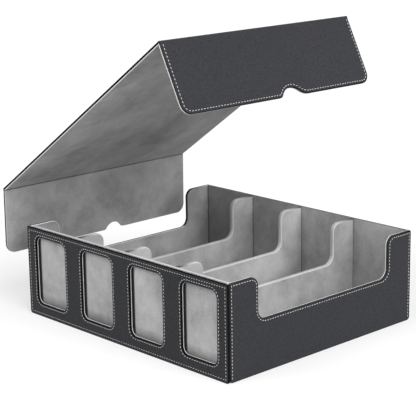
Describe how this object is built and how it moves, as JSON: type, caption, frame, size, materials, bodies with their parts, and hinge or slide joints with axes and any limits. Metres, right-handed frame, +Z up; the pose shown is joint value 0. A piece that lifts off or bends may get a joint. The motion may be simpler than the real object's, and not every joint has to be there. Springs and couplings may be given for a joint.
{
  "type": "trading card storage box",
  "caption": "Leather-covered storage tray with lined card lanes, framed card windows in front and a lift-off lid with folding flaps",
  "frame": {"origin": "middle of the tray's underside", "axes": "+X along the window panel, from the lifted rear flap's side to the other side; +Y from the windows to the back wall; +Z up"},
  "size_m": [0.389, 0.2934, 0.3457],
  "materials": {
    "black_leather": "fine grained artificial leather, semi-matt",
    "grey_suede": "brushed microfibre with a short nap",
    "board": "pressed grey board, hidden",
    "magnet": "nickel plated, sealed in the boards"
  },
  "bodies": {
    "tray": {"base_cover": "black_leather", "base_board": "board", "floor_lining": "grey_suede", "left_wall_cover": "black_leather", "left_wall_board": "board", "left_wall_lining": "grey_suede", "left_wall_magnets": "magnet", "right_wall_cover": "black_leather", "right_wall_board": "board", "right_wall_lining": "grey_suede", "right_wall_magnets": "magnet", "back_cover": "black_leather", "back_board": "board", "back_lining": "grey_suede", "window_panel_cover": "black_leather", "window_panel_board": "board", "window_panel_lining": "grey_suede", "inner_wall_lining": "grey_suede", "inner_wall_board": "board", "slot_spacers": "grey_suede", "divider_1_lining": "grey_suede", "divider_1_board": "board", "divider_2_lining": "grey_suede", "divider_2_board": "board", "divider_3_lining": "grey_suede", "divider_3_board": "board"},
    "lid_top": {"lid_top_cover": "black_leather", "lid_top_board": "board", "lid_top_lining": "grey_suede", "rear_fold": "black_leather", "front_fold": "black_leather"},
    "rear_flap": {"rear_flap_cover": "black_leather", "rear_flap_board": "board", "rear_flap_lining": "grey_suede", "rear_flap_magnets": "magnet"},
    "front_flap": {"front_flap_cover": "black_leather", "front_flap_board": "board", "front_flap_lining": "grey_suede", "front_flap_magnets": "magnet"}
  },
  "joints": [
    {"name": "lid_swing", "type": "hinge", "parent": "tray", "child": "lid_top", "pos_m": [-0.24837, 0, 0.05842], "axis": [0, 1, 0], "range_deg": [0, 34.95]},
    {"name": "rear_flap_fold", "type": "hinge", "parent": "lid_top", "child": "rear_flap", "pos_m": [-0.2163, 0, 0.1434], "axis": [0, 1, 0], "range_deg": [-35.9, 0]},
    {"name": "front_flap_fold", "type": "hinge", "parent": "lid_top", "child": "front_flap", "pos_m": [0.07058, 0, 0.3439], "axis": [0, 1, 0], "range_deg": [-10.25, 0]}
  ],
  "couplings": [
    {"joint": "rear_flap_fold", "follows": "lid_swing", "ratio": -1.0186},
    {"joint": "front_flap_fold", "follows": "lid_swing", "ratio": -0.28469}
  ]
}
